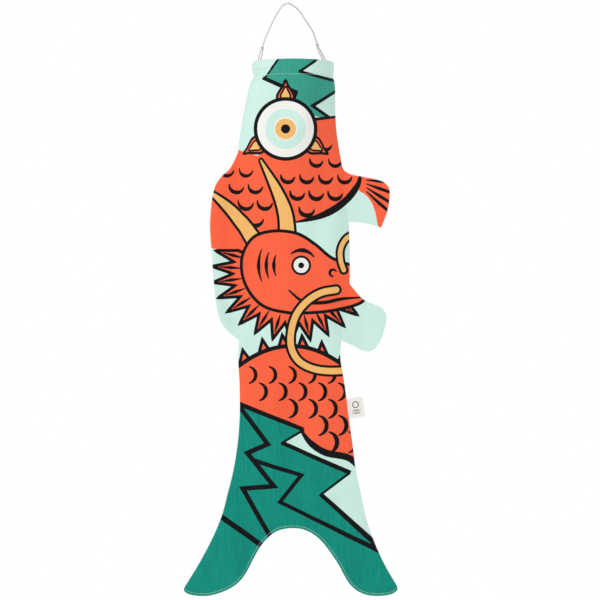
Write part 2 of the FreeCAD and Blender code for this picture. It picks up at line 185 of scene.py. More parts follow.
# -------- materials
class Nodes:
    """A short way to build a material's node tree."""

    def __init__(self, name):
        self.material = bpy.data.materials.new(name)
        self.material.use_nodes = True
        self.tree = self.material.node_tree
        self.shader = self.tree.nodes["Principled BSDF"]

    def add(self, kind, links=(), **settings):
        node = self.tree.nodes.new(kind)
        for key, value in settings.items():
            setattr(node, key, value)
        for socket, source in dict(links).items():
            self.join(source, node.inputs[socket])
        return node

    def join(self, source, socket):
        self.tree.links.new(source, socket)

    def math(self, operation, first, second):
        node = self.tree.nodes.new("ShaderNodeMath")
        node.operation = operation
        for socket, value in zip(node.inputs, (first, second)):
            if isinstance(value, (int, float)):
                socket.default_value = value
            else:
                self.join(value, socket)
        return node.outputs[0]

    def noise(self, place, scale, stretch=(1, 1, 1), detail=3.0, rough=0.5):
        mapped = self.add("ShaderNodeMapping", {"Vector": place})
        mapped.inputs["Scale"].default_value = stretch
        node = self.add("ShaderNodeTexNoise", {"Vector": mapped.outputs[0]})
        for name, value in (("Scale", scale), ("Detail", detail), ("Roughness", rough)):
            node.inputs[name].default_value = value
        return node.outputs["Fac"]

    def bands(self, place, direction, pitch, distortion=0.0):
        """Even waves of the given pitch across one direction."""
        node = self.add("ShaderNodeTexWave", {"Vector": place}, bands_direction=direction)
        node.inputs["Scale"].default_value = math.pi / 10 / pitch
        node.inputs["Distortion"].default_value = distortion
        return node.outputs["Fac"]

    def varied(self, source, size, base):
        """A factor: base and a share of a noise or a weave."""
        return self.math("ADD", self.math("MULTIPLY", source, size), base)

    def centred(self, source, size):
        """A share of a noise, as much below zero as above it."""
        return self.math("MULTIPLY", self.math("SUBTRACT", source, 0.5), size)

    def paint(self, colour, amount):
        """The surface's colour, made lighter or darker by a factor."""
        node = self.add("ShaderNodeVectorMath", {"Scale": amount}, operation="SCALE")
        node.inputs[0].default_value = colour
        self.join(node.outputs[0], self.shader.inputs["Base Color"])

    def bump(self, height, strength, distance):
        node = self.add("ShaderNodeBump", {"Height": height})
        node.inputs["Strength"].default_value = strength
        node.inputs["Distance"].default_value = distance
        self.join(node.outputs[0], self.shader.inputs["Normal"])

    def finish(self, **sockets):
        for name, value in sockets.items():
            self.shader.inputs[name.replace("_", " ")].default_value = value
        return self.material


def floor_material(name, colour, roughness):
    """Pale paint, lifted by half as much again so that it shows as white as the surround."""
    nodes = Nodes(name)
    speck = nodes.noise(nodes.add("ShaderNodeTexCoord").outputs["Object"], 6.0)
    nodes.paint(colour, nodes.varied(speck, 0.04, 1.48))
    return nodes.finish(Roughness=roughness)


# Print inks: linear colour, and how strongly the yarn streaks show through
INKS = {
    "mint": ((0.462, 0.640, 0.580), 0.030),
    "jade": ((0.032, 0.258, 0.193), 0.20),
    "teal": ((0.004, 0.200, 0.151), 0.27),
    "orange": ((0.735, 0.100, 0.043), 0.05),
    "ochre": ((0.680, 0.375, 0.120), 0.05),
    "cream": ((0.665, 0.670, 0.635), 0.025),
    "black": ((0.0045, 0.0048, 0.0060), 0.30),
}
INK_NAMES = list(INKS)
WEAVE_PITCH = 0.9
REVERSE_PALE = 0.42


def cloth_material(name, colour, streak):
    """Plain-woven printed polyester: yarn streaks down the cloth, slow shade changes where
    the ink took unevenly, a fine weave in relief."""
    nodes = Nodes(name)
    place = nodes.add("ShaderNodeAttribute", attribute_name="flat").outputs["Vector"]
    yarns = nodes.noise(place, 1.0, stretch=(0.70, 0.030, 1), detail=3, rough=0.7)
    cross = nodes.noise(place, 1.0, stretch=(0.03, 0.8, 1), detail=2)
    slow = nodes.noise(place, 1.0, stretch=(0.022, 0.014, 1), detail=2)
    streaks = nodes.math("ADD", nodes.centred(yarns, 4.2 * streak),
                         nodes.centred(cross, 1.1 * streak))
    patches = nodes.math("ADD", nodes.centred(slow, 0.11), 1.0)
    nodes.paint(colour, nodes.math("ADD", streaks, patches))
    warp = nodes.bands(place, "X", WEAVE_PITCH, 0.4)
    weft = nodes.bands(place, "Y", WEAVE_PITCH, 0.4)
    weave = nodes.math("MULTIPLY", warp, weft)
    nodes.bump(nodes.math("ADD", weave, nodes.math("MULTIPLY", yarns, 0.8)), 0.35, 0.00012)
    return nodes.finish(Roughness=0.85, Sheen_Weight=0.05, Sheen_Roughness=0.45,
                        Specular_IOR_Level=0.09)


def reverse_of(colour):
    """The cloth's unprinted side, where the ink shows through paler."""
    return tuple(c + (0.80 - c) * REVERSE_PALE for c in colour)


def cloth_materials():
    made = [cloth_material("print_" + ink, *INKS[ink]) for ink in INK_NAMES]
    for ink in INK_NAMES:
        colour, streak = INKS[ink]
        made.append(cloth_material("reverse_" + ink, reverse_of(colour), streak))
    return made


def yarn_material(name, colour, ply_pitch, roughness):
    """Twisted fibres: fine fuzz in colour and relief."""
    nodes = Nodes(name)
    place = nodes.add("ShaderNodeTexCoord").outputs["Object"]
    fuzz = nodes.noise(place, 1 / ply_pitch, detail=4, rough=0.7)
    nodes.paint(colour, nodes.varied(fuzz, 0.28, 0.84))
    nodes.bump(fuzz, 0.5, 0.0001)
    return nodes.finish(Roughness=roughness, Sheen_Weight=0.25, Specular_IOR_Level=0.2)


def tape_material(name, colour):
    """Woven label tape: a tight satin weave with a slight shine."""
    nodes = Nodes(name)
    place = nodes.add("ShaderNodeAttribute", attribute_name="flat").outputs["Vector"]
    warp = nodes.bands(place, "X", 0.45)
    weft = nodes.bands(place, "Y", 0.6)
    slow = nodes.noise(place, 1.0, stretch=(0.2, 0.12, 1))
    weave = nodes.math("MULTIPLY", warp, weft)
    nodes.paint(colour, nodes.varied(weave, 0.06, nodes.varied(slow, 0.08, 0.90)))
    nodes.bump(weave, 0.4, 0.00008)
    return nodes.finish(Roughness=0.55, Sheen_Weight=0.1, Specular_IOR_Level=0.35)


def plastic_material(name, colour):
    """Drawn plastic strip: lengthwise die lines and faint scuffs."""
    nodes = Nodes(name)
    place = nodes.add("ShaderNodeTexCoord").outputs["Object"]
    lines = nodes.noise(place, 900.0, stretch=(0.03, 0.03, 1), detail=2)
    scuffs = nodes.noise(place, 60.0, detail=5, rough=0.7)
    nodes.paint(colour, nodes.varied(scuffs, 0.10, 0.93))
    nodes.join(nodes.varied(scuffs, 0.25, 0.30), nodes.shader.inputs["Roughness"])
    nodes.bump(lines, 0.3, 0.00005)
    return nodes.finish()


# -------- lines and curves
def smooth_table(knots, values):
    """A smooth function through (knot, value) pairs. The knots rise."""
    knots, values = np.array(knots, float), np.array(values, float)
    slopes = np.gradient(values, knots)

    def at(x):
        x = np.clip(x, knots[0], knots[-1])
        k = np.clip(np.searchsorted(knots, x) - 1, 0, len(knots) - 2)
        width = knots[k + 1] - knots[k]
        t = (x - knots[k]) / width
        return ((1 + 2 * t) * (1 - t) ** 2 * values[k] + t * (1 - t) ** 2 * width * slopes[k]
                + t * t * (3 - 2 * t) * values[k + 1] + t * t * (t - 1) * width * slopes[k + 1])
    return at


def step_up(x, low, high):
    """0 below low, 1 above high, smooth between."""
    t = np.clip((x - low) / (high - low), 0, 1)
    return t * t * (3 - 2 * t)


def divided(points, step=LINE_STEP, closed=False):
    """A polyline's points, with more on its long runs."""
    points = [np.array(p, float) for p in points]
    made = []
    ends = points[1:] + points[:1] if closed else points[1:]
    for here, there in zip(points, ends):
        count = max(1, round(float(np.linalg.norm(there - here)) / step))
        made += [here + (there - here) * k / count for k in range(count)]
    return np.array(made if closed else made + [points[-1]])


def curved(points, step=CURVE_STEP, closed=False):
    """A smooth curve through its points (Catmull-Rom), divided evenly."""
    p = np.array(points, float)
    if closed:
        p = np.vstack([p[-1], p, p[0], p[1]])
    else:
        p = np.vstack([2 * p[0] - p[1], p, 2 * p[-1] - p[-2]])
    made = []
    for a, b, c, d in zip(p, p[1:], p[2:], p[3:]):
        count = max(1, round(float(np.linalg.norm(c - b)) / step))
        for t in np.arange(count) / count:
            made.append(0.5 * (2 * b + (c - a) * t + (2 * a - 5 * b + 4 * c - d) * t * t
                               + (3 * b - a - 3 * c + d) * t ** 3))
    return np.array(made if closed else made + [p[-2]])


def columns(*values):
    """Coordinates side by side, a row for each point."""
    return np.stack(values, axis=1)


def unit(rows):
    return rows / np.linalg.norm(rows, axis=1)[:, None]


def run_along(line):
    """The distance run at each point of a line."""
    return np.concatenate([[0], np.cumsum(np.linalg.norm(np.diff(line, axis=0), axis=1))])


def sampled(at, reach, rows):
    """Rows of numbers read off at distances along their line."""
    return columns(*(np.interp(at, reach, column) for column in rows.T))


def twice_area(flat, faces):
    """Twice each triangle's area, below zero where it turns clockwise."""
    a, b, c = (flat[faces[:, k]] for k in range(3))
    return (b - a)[:, 0] * (c - a)[:, 1] - (b - a)[:, 1] * (c - a)[:, 0]


def arc(centre, radius, start, sweep, count=12):
    angles = np.radians(start + sweep * np.linspace(0, 1, count))
    return columns(centre[0] + radius * np.cos(angles), centre[1] + radius * np.sin(angles))


def inside(points, polygon):
    """Which points are inside a closed polygon."""
    x, y = points[:, 0], points[:, 1]
    found = np.zeros(len(points), bool)
    for (x0, y0), (x1, y1) in zip(polygon, np.roll(polygon, -1, axis=0)):
        if y0 != y1:
            crosses = (y0 > y) != (y1 > y)
            found ^= crosses & (x < (x1 - x0) * (y - y0) / (y1 - y0) + x0)
    return found


# -------- the tube's surface
heights = [s[0] for s in STATIONS][::-1]
left_edge, right_edge, half_depth = (
    smooth_table(heights, [s[k] for s in STATIONS][::-1]) for k in (1, 2, 3))
TURN = np.linspace(-math.pi / 2, math.pi / 2, 61)
FLAT_BLUNT, HOOP_ROUNDER = 0.8, 0.3       # a pointed oval low down, a true one at the hoop
FLAT_BELOW, ROUND_ABOVE = -250, -110
INNER_PLY_IN = 0.8                        # how far inside the casing its second ply lies


def section(z):
    """Middle, half width, half depth and bluntness of the tube at each height."""
    left, right = left_edge(z), right_edge(z)
    blunt = FLAT_BLUNT - HOOP_ROUNDER * step_up(z, FLAT_BELOW, ROUND_ABOVE)
    return (left + right) / 2, (right - left) / 2, half_depth(z), blunt


def running_length(z):
    """Length along the cloth, from the left seam, at each turn of the cross-section."""
    _, half, depth, blunt = (a[:, None] for a in section(z))
    x = half * np.sin(TURN)
    y = depth * np.cos(TURN) ** (2 * blunt)
    run = np.cumsum(np.hypot(np.diff(x), np.diff(y)), axis=1)
    return np.hstack([np.zeros((len(z), 1)), run])


def to_flat(points):
    """Front-view (x, z) points as (u, v) on the flat cut."""
    points = np.array(points, float)
    x, z = points[:, 0], points[:, 1]
    middle, half, _, _ = section(z)
    run = running_length(z)
    along = np.clip((x - middle) / half, -1, 1)
    place = (np.arcsin(along) + math.pi / 2) / math.pi * (len(TURN) - 1)
    k = np.clip(place.astype(int), 0, len(TURN) - 2)
    rows = np.arange(len(z))
    here = run[rows, k] + (place - k) * (run[rows, k + 1] - run[rows, k])
    past = np.maximum(0, x - middle - half) + np.minimum(0, x - middle + half)
    return columns(middle + here - run[:, -1] / 2 + past, z)


def seen(points):
    """Points laid out as they look from the camera, moved to where they are on the cloth."""
    points = np.array(points, float)
    eye_x, eye_y, eye_z = EYE_POINT
    middle, half, depth, _ = section(points[:, 1])
    along = np.clip((points[:, 0] - middle) / half, -1, 1)
    near = 1 - depth * np.sqrt(1 - along ** 2) / -eye_y
    eye = np.array([eye_x, eye_z])
    return eye + (points - eye) * near[:, None]


def on_tube(flat):
    """Rest place (x, depth, z) of each (u, v) point. Depth is positive outwards."""
    u, v = flat[:, 0], flat[:, 1]
    bend = np.clip((v - FOLD_START) / FOLD, 0, math.pi)
    leg = np.maximum(0, v - FOLD_START - math.pi * FOLD)
    z = np.minimum(v, FOLD_START) + FOLD * np.sin(bend) ** FOLD_SQUARE - leg
    close = step_up(leg, INNER_LEG * 0.55, INNER_LEG * 0.95)
    turned = np.sign(np.cos(bend)) * np.abs(np.cos(bend)) ** FOLD_SQUARE
    inset = FOLD * (1 - turned) * (1 - close) + INNER_PLY_IN * close * (bend > 3)
    middle, half, depth, blunt = section(np.minimum(z, RIM))
    run = running_length(np.minimum(z, RIM))
    s = u - middle + run[:, -1] / 2
    rows = np.arange(len(u))
    k = np.clip((run <= s[:, None]).sum(axis=1) - 1, 0, len(TURN) - 2)
    part = np.clip((s - run[rows, k]) / (run[rows, k + 1] - run[rows, k]), 0, 1)
    turn = TURN[k] + part * (TURN[1] - TURN[0])
    past = np.maximum(0, s - run[:, -1]) + np.minimum(0, s)
    x = middle + (half - inset) * np.sin(turn) + past
    y = (depth - inset) * np.maximum(np.cos(turn), 0) ** (2 * blunt)
    return columns(x, y, z)


# -------- the panel's cut
def outside_tube(points):
    x, z = points[:, 0], points[:, 1]
    return points[(x < left_edge(z)) | (x > right_edge(z))]


def edge_run(edge, top, bottom):
    """A stretch of the tube's own edge, downwards."""
    z = np.linspace(top, bottom, max(2, int((top - bottom) / 3)))
    return columns(edge(z), z)


def edge_with_fins(edge, fins):
    """One side of the panel from the fold to the tail, round its fins."""
    made, top = [], FOLD_START
    for fin in fins:
        made += [edge_run(edge, top, fin[0][1])[:-1], fin]
        top = fin[-1][1]
    return np.vstack(made + [edge_run(edge, top, SIDE_FOOT)])


def panel_outline():
    """The cut's outline as (u, v), and its seam points."""
    back = outside_tube(curved(BACK_FIN))
    breast = outside_tube(np.vstack([curved(BREAST_FIN)[:-1], curved(BREAST_FIN_FOOT)]))
    belly = outside_tube(curved(BELLY_FIN))
    left = edge_with_fins(left_edge, [back])
    right = edge_with_fins(right_edge, [breast, belly])
    hem = curved(HEM_LINE)
    hem = hem[(hem[:, 0] > left_edge(hem[:, 1])) & (hem[:, 0] < right_edge(hem[:, 1]))]
    left = np.vstack([left, edge_run(left_edge, SIDE_FOOT, hem[0][1])[1:-1]])
    right = np.vstack([right, edge_run(right_edge, SIDE_FOOT, hem[-1][1])[1:-1]])
    left, hem, right = to_flat(left), to_flat(hem), to_flat(right)
    rise = np.linspace(FOLD_START, TOP, 14)[1:, None]
    up_left = np.hstack([np.full_like(rise, left[0][0]), rise])
    up_right = np.hstack([np.full_like(rise, right[0][0]), rise])
    top = divided([up_right[-1], up_left[-1]])[1:-1]
    outline = np.vstack([up_left[::-1], left, hem, right[::-1], up_right, top])
    return outline, np.vstack([up_left[::-1], left]), np.vstack([right[::-1], up_right]), hem


OUTLINE, LEFT_SEAM, RIGHT_SEAM, HEM = panel_outline()


# -------- the print
SHARPEST = 0.35                           # limits how far a stroke's sharp corner juts out


class Print:
    """Shapes in painting order, each an ink and a closed outline on the flat cut."""

    def __init__(self, lay):
        self.lay, self.shapes, self.edges = lay, [], []

    def fill(self, ink, points, rounded=False):
        outline = curved(points, closed=True) if rounded else divided(points, closed=True)
        self.shapes.append((ink, self.lay(outline)))

    def disc(self, ink, centre, radius):
        self.fill(ink, arc(centre, radius, 0, 360, max(12, int(radius * 2.4)))[:-1])

    def brush(self, points, widths, rounded=True, ink="black", closed=False):
        """A line as wide as its list of widths says, spread along its length."""
        line = curved(points, BRUSH_STEP, closed) if rounded else divided(points, LINE_STEP, closed)
        if closed:
            line = np.vstack([line, line[:1]])
        line = self.lay(line)
        ahead = unit(np.diff(line, axis=0))
        if closed:
            before, after = np.vstack([ahead[-1:], ahead]), np.vstack([ahead, ahead[:1]])
        else:
            before, after = np.vstack([ahead[:1], ahead]), np.vstack([ahead, ahead[-1:]])
        square = (before + after)[:, ::-1] * np.array([-1, 1])
        square /= np.maximum(1 + (before * after).sum(axis=1), SHARPEST)[:, None]
        reach = run_along(line)
        width = np.interp(reach / reach[-1], np.linspace(0, 1, len(widths)), widths)
        offset = square * width[:, None] / 2
        for k in range(len(line) - 1):
            quad = [line[k] + offset[k], line[k + 1] + offset[k + 1],
                    line[k + 1] - offset[k + 1], line[k] - offset[k]]
            self.shapes.append((ink, np.array(quad)))
        self.edges.append(line + offset)
        self.edges.append(line - offset)
        if rounded and not closed:
            for end in (0, -1):
                self.shapes.append((ink, arc(line[end], width[end] / 2, 0, 315, 8)))

    def outlined(self, ink, points, width, rounded=True):
        self.fill(ink, points, rounded)
        self.brush(points, [width], rounded, closed=True)


art = Print(lambda points: to_flat(seen(points)))


def zigzag(*strokes):
    """Straight black strokes, each from its corners and its widths."""
    for corners, widths in strokes:
        art.brush(corners, widths, False)


def print_sky_bolt():
    """A zigzag bolt that comes down from the rim behind the eye."""
    left = [(8, -34), (-13, -74), (-30, -96), (13, -116), (4, -140)]
    right = [(78, -34), (38, -74), (16, -89), (72, -104), (72, -110), (33, -134), (58, -152)]
    art.fill("jade", left + right[::-1])
    zigzag((left[:3], [3.0]), ([(-33, -97), (13, -117)], [5.0, 5.6]),
           ([(13, -115), (3, -142)], [3.0]), (right[:3], [3.4]),
           ([(14, -88), (76, -105)], [3.6, 5.2]),
           ([(76, -107), (33, -134), (62, -154)], [4.2, 4.6]))


def scale_rows(region, pitch, radius, start, sweep):
    """Even rows of scale marks inside a region, each row set half a pitch over, and each a
    little bolder than the row above it."""
    low, high = np.min(region, axis=0), np.max(region, axis=0)
    for row, z in enumerate(np.arange(high[1], low[1], -pitch * 0.85)):
        for x in np.arange(low[0] + row % 2 * pitch / 2, high[0], pitch):
            if inside(np.array([[x, z]]), np.array(region))[0]:
                bold = 1 + 0.07 * row
                art.brush(arc((x, z), radius * bold, start, sweep, 7),
                          [2.0, 4.4 * bold, 4.4 * bold, 2.0])


FIN_NOTCH = [(121, -300), (118, -288), (115, -273), (109, -259), (101, -250), (94, -246)]
COIL_EDGE = [(93, -237), (82, -253), (66, -267), (48, -277), (30, -283), (8, -288)]
EYE = (-2.6, -164.5)


def print_upper_coil():
    """The orange coil behind the eye, with its scales, its heavy lower edge and a finned end."""
    art.fill("orange", [
        (-125, -193), (-64, -192), (-39, -200), (-30, -190), (-10, -196), (10, -196), (24, -186),
        (30, -170), (33, -152), (60, -149), (100, -146), (100, -215), (150, -215), (150, -300)]
        + list(curved(FIN_NOTCH)) + COIL_EDGE + [(6, -302), (-40, -330), (-125, -318)])
    art.brush([(33, -152), (58, -149), (90, -147)], [4.0, 3.0])
    art.brush([(96, -224)] + COIL_EDGE, [3.6, 8.5, 9.5, 9.5, 6.0, 1.6])
    scale_rows([(46, -164), (92, -162), (92, -228), (70, -254), (14, -272), (-12, -226),
                (16, -214), (40, -196)], 25, 7.6, 175, 170)
    scale_rows([(-80, -196), (-34, -204), (-24, -238), (-22, -292), (-44, -292), (-60, -262),
                (-92, -232)], 25, 8.4, 175, 170)
    for ray in range(4):
        art.brush([(104, -232 - 5 * ray), (118, -233 - 9 * ray), (138, -235 - 14 * ray)],
                  [1.6, 4.6, 4.0])


FLAME = [(36, 0), (38, 10), (44, 11), (50, 8), (57, 3.4), (64, 0)]
FLAME_HEART = [(38, 0), (41, 6), (45, 6.2), (50, 3.6), (56, 0)]


def flame(profile, angle):
    """A tongue of flame pointing away from the eye, from its (radius, half width) profile."""
    turn = math.radians(angle)
    c, s = math.cos(turn), math.sin(turn)
    sides = profile + [(radius, -across) for radius, across in profile[-2:0:-1]]
    return [(EYE[0] + radius * c - across * s, EYE[1] + radius * s + across * c)
            for radius, across in sides]


def print_eye():
    """The streamer's own eye: rings in pale inks, with three even flames round it."""
    for angle in (90, 210, 330):
        art.outlined("orange", flame(FLAME, angle), 3.4)
        art.outlined("ochre", flame(FLAME_HEART, angle), 2.4)
    art.disc("black", EYE, 42.0)
    for ink, radius in (("cream", 37.2), ("mint", 26.6), ("cream", 15.4), ("ochre", 13.8),
                        ("black", 6.2)):
        art.disc(ink, EYE, radius)


def ridge(x):
    """Height of the lower coil's back, which arches over its middle."""
    return -450 - 0.0055 * (x - 5) ** 2


def print_lower_coil():
    """The orange coil over the lower body, with even spines along its back."""
    for x in range(-56, 80, 26):
        spine = [(x - 10, ridge(x - 10) - 8), (x - 3, ridge(x) + 15), (x + 10, ridge(x + 10) - 8)]
        art.outlined("orange", spine, 4.2, False)
    back = [(x, ridge(x)) for x in range(-76, 90, 8)]
    belly = [(80, -597), (50, -590), (30, -577), (17, -560)]
    art.fill("orange", back + [(104, -520), (104, -626)] + belly + [(-75, -520)])
    art.brush(back, [5.6])
    art.brush(belly[::-1] + [(98, -613)], [3.6, 8.5, 9.0, 9.0, 8.0])
    scale_rows([(-66, -492), (-30, -470), (60, -466), (88, -484), (90, -590), (56, -582),
                (26, -560), (-50, -512)], 26, 10.5, 75, -150)


def print_storm():
    """Dark bolts over the tail: a green field with thick zigzag lines."""
    art.fill("teal", [(-64, -527), (19, -560), (-6, -577), (81, -617), (44, -645), (118, -712),
                      (190, -800), (-190, -800), (-150, -700)])
    zigzag(([(-72, -523), (21, -560)], [6.4, 5.6]), ([(22, -560), (-8, -578)], [3.4, 3.2]),
           ([(-8, -577), (83, -617)], [5.6, 6.2]), ([(83, -616), (44, -645)], [3.4, 3.2]),
           ([(43, -644), (122, -716)], [5.8, 7.6]),
           ([(-66, -526), (-26, -579), (-53, -591), (-18, -634), (-59, -638), (-20, -706)],
            [6.4]),
           ([(-46, -600), (18, -620), (-10, -655), (126, -722)], [5.8, 5.0, 7.0]),
           ([(-92, -671), (-30, -716)], [7.2]))


LOCKS = 13
MANE_MIDDLE, MANE_REACH = (8, -352), (108, 92)
MANE_START, MANE_SWEEP = 156, 172         # degrees, from the crown round to the chin
MANE_NOTCH = 0.74                         # how far in the mane goes between two locks
BEAST_EYE = (18, -344)
FACE = [(-60, -334), (-46, -308), (-20, -299), (12, -302), (36, -316), (58, -334), (84, -344),
        (104, -354), (108, -372), (98, -392), (66, -402), (34, -406), (0, -406), (-34, -396),
        (-56, -368)]
HORNS = [
    [(-42, -314), (-60, -288), (-80, -266), (-106, -244)],
    [(0, -306), (-3, -276), (-14, -246), (-35, -206)],
]


def mane_point(number, share=1.0):
    """A point on the mane's edge. Odd numbers are the locks' tips; share draws it in."""
    turn = math.radians(MANE_START + MANE_SWEEP * number / (2 * LOCKS))
    reach = share * (1.0 if number % 2 else MANE_NOTCH)
    return (MANE_MIDDLE[0] + MANE_REACH[0] * reach * math.cos(turn),
            MANE_MIDDLE[1] + MANE_REACH[1] * reach * math.sin(turn))


def print_head():
    """A plain horned beast in profile: an even zigzag mane, two smooth horns, one round eye."""
    art.outlined("orange", [mane_point(n) for n in range(2 * LOCKS + 1)], 4.2, False)
    for lock in range(1, 2 * LOCKS, 2):
        art.brush([mane_point(lock, share) for share in (0.64, 0.78, 0.90)], [1.2, 4.6, 1.2])
    for horn in HORNS:
        art.brush(horn, [26, 23, 17, 8])
        art.brush(horn, [19, 16, 10, 2], ink="ochre")
    art.outlined("orange", FACE, 4.2)
    for radius, ink in ((13.0, "black"), (10.0, "cream"), (4.0, "black")):
        art.disc(ink, BEAST_EYE, radius)
    brow, nostril = arc(BEAST_EYE, 20, 130, -95, 8), arc((60, -354), 4.6, 30, 240, 8)
    mouth = [(98, -386), (72, -388), (46, -393), (20, -391), (2, -377)]
    art.brush(brow, [2.0, 6.0, 2.0])
    art.brush(nostril, [2.0, 4.2, 2.0])
    art.brush(mouth, [2.0, 4.8, 4.8, 2.4])
    for radius in (36, 46, 56):
        art.brush(arc(BEAST_EYE, radius, 158, 44, 8), [1.4, 5.0, 1.4])


WHISKERS = [
    ([(64, -376), (44, -380), (26, -391), (12, -408), (5, -430), (5, -452), (15, -470),
      (34, -480), (58, -483), (92, -481)], 8.4),
    ([(74, -350), (70, -338), (70, -322), (78, -308), (92, -302)], 6.4),
]
WHISKER_EDGE = 3.2


def print_whiskers():
    """Two long ochre whiskers, one down over the lower coil."""
    for path, width in WHISKERS:
        for ink, edge in (("black", WHISKER_EDGE), ("ochre", 0)):
            art.brush(path, [width + 2 * edge], ink=ink)
            art.disc(ink, path[0], width / 2 + edge)


for print_part in (print_sky_bolt, print_upper_coil, print_eye, print_lower_coil, print_storm,
                   print_head, print_whiskers):
    print_part()


# -------- the flat mesh
GRID = 3.4
HEX_ROW = 0.866                           # from row to row of a grid of even triangles
PAST_EDGE = 8                             # how far past the cut a print's lines are kept
CLEAR_OF_LINES = 1.1                      # the room that grid points leave beside a line
SLIVER = 1e-6                             # twice the area below which a face is dropped


def distance_to(points, targets):
    """Each point's distance to the nearest target point."""
    tree = KDTree(len(targets))
    for k, (x, y) in enumerate(targets):
        tree.insert((x, y, 0), k)
    tree.balance()
    return np.array([tree.find((x, y, 0))[2] for x, y in points])


def hex_grid(low, high, step):
    rows = []
    for k, v in enumerate(np.arange(low[1], high[1], step * HEX_ROW)):
        u = np.arange(low[0] + (k % 2) * step / 2, high[0], step)
        rows.append(columns(u, np.full_like(u, v)))
    return np.vstack(rows)


def triangulated(outline, lines, step, clear=CLEAR_OF_LINES):
    """Points and triangles of a cut, with edges along the given lines."""
    lines = [outline] + lines
    marks = np.vstack(lines)
    grid = hex_grid(outline.min(axis=0), outline.max(axis=0), step)
    grid = grid[inside(grid, outline)]
    grid = grid[distance_to(grid, marks) > clear]
    points, edges = [], []
    for k, line in enumerate(lines):
        first = len(points)
        points += list(line)
        last = len(points) - 1
        edges += [(n, n + 1) for n in range(first, last)]
        if k == 0:
            edges.append((last, first))
    points += list(grid)
    flat, _, faces, *_ = delaunay_2d_cdt([Vector(p) for p in points], edges, [], 0, 1e-4)
    flat = np.array([tuple(p) for p in flat])
    faces = np.array([f for f in faces if len(f) == 3])
    middles = flat[faces].mean(axis=1)
    faces = faces[inside(middles, outline)]
    turn = twice_area(flat, faces)
    faces[turn < 0] = faces[turn < 0][:, ::-1]
    used, faces = compact(faces[np.abs(turn) > SLIVER])
    return flat[used], faces


def compact(faces):
    """The points that the faces use, and the faces numbered by them."""
    used, again = np.unique(faces, return_inverse=True)
    return used, again.reshape(faces.shape)


def inked(middles, shapes, names):
    """Which ink each face takes: the last shape painted over it."""
    ink = np.zeros(len(middles), int)
    for name, polygon in shapes:
        low, high = polygon.min(axis=0), polygon.max(axis=0)
        near = np.where(((middles >= low) & (middles <= high)).all(axis=1))[0]
        if len(near):
            ink[near[inside(middles[near], polygon)]] = names.index(name)
    return ink


def clipped(lines, outline):
    """The lines' stretches that lie on the cut, or just past its edge."""
    low, high = outline.min(axis=0) - PAST_EDGE, outline.max(axis=0) + PAST_EDGE
    made = []
    for line in lines:
        line = divided(line)
        kept = ((line > low) & (line < high)).all(axis=1)
        for part in np.split(np.arange(len(line)), np.where(~kept)[0]):
            part = part[kept[part]]
            if len(part) > 1:
                made.append(line[part])
    return made


def printed(outline, picture, names, step, more=()):
    """A cut's points and triangles, with the ink that each triangle takes."""
    lines = [np.vstack([shape, shape[:1]]) for _, shape in picture.shapes if len(shape) > 4]
    flat, faces = triangulated(outline, clipped(lines + picture.edges, outline) + list(more),
                               step)
    return flat, faces, inked(flat[faces].mean(axis=1), picture.shapes, names)


def across_panel(height, step):
    """A line of points from edge to edge of the cut, and a little past them."""
    return divided([(OUTLINE[:, 0].min() - 5, height), (OUTLINE[:, 0].max() + 5, height)], step)


CASING_ROW, CASING_STEP = 1.5, 2.6        # the finer mesh in the casing
fine_rows = [across_panel(v, CASING_STEP)
             for v in np.arange(CASING_STITCH - 5, FOLD_START - 1, CASING_ROW)]
FLAT, FACES, FACE_INK = printed(OUTLINE, art, INK_NAMES, GRID,
                                [across_panel(SPLIT, LINE_STEP)] + fine_rows)


# -------- how the cloth hangs
seam_points = np.vstack([divided(LEFT_SEAM, 0.3), divided(RIGHT_SEAM, 0.3)])
FREE_FROM_SEAM = 26.0                     # how far from a seam the plies part freely
PUCKER_REACH = 4.5
FOLDS_FULL = 40.0                         # how far below the casing the folds are full
NIP, NIP_REACH = 0.8, 2.2                 # how the casing's stitching draws the cloth in
SLACK, LEFT_SLACK = 0.5, 1.5              # slack below the strip, and the left side's more
SHARED_FOLDS = [(0.9, 170, 900, 0.4), (0.55, 88, -620, 2.1), (0.35, 61, 410, 4.0),
                (0.6, 900, 260, 1.0), (0.25, -120, 95, 5.2)]
OWN_FOLDS = [(0.8, 96, 1300, 1.3), (0.45, 57, -700, 0.2), (0.3, 39, 380, 3.3),
             (0.22, 140, 64, 2.2)]
OWN_SHIFT = 17                            # so that the two panels' own folds differ
PUCKERS = [(0.30, 9.5, 60, 0.0), (0.18, 14.3, -80, 1.9), (0.14, 6.1, 45, 3.7)]
CASING_CREASES = [(0.60, 190, 6.3, 0.6), (0.50, -230, 9.4, 2.4), (0.15, 90, 5.2, 4.0)]


def waves(place, terms):
    """A sum of sines: (amplitude, u wavelength, v wavelength, phase)."""
    u, v = place[:, 0], place[:, 1]
    total = np.zeros(len(place))
    for size, across, down, phase in terms:
        total += size * np.sin(2 * math.pi * (u / across + v / down) + phase)
    return total


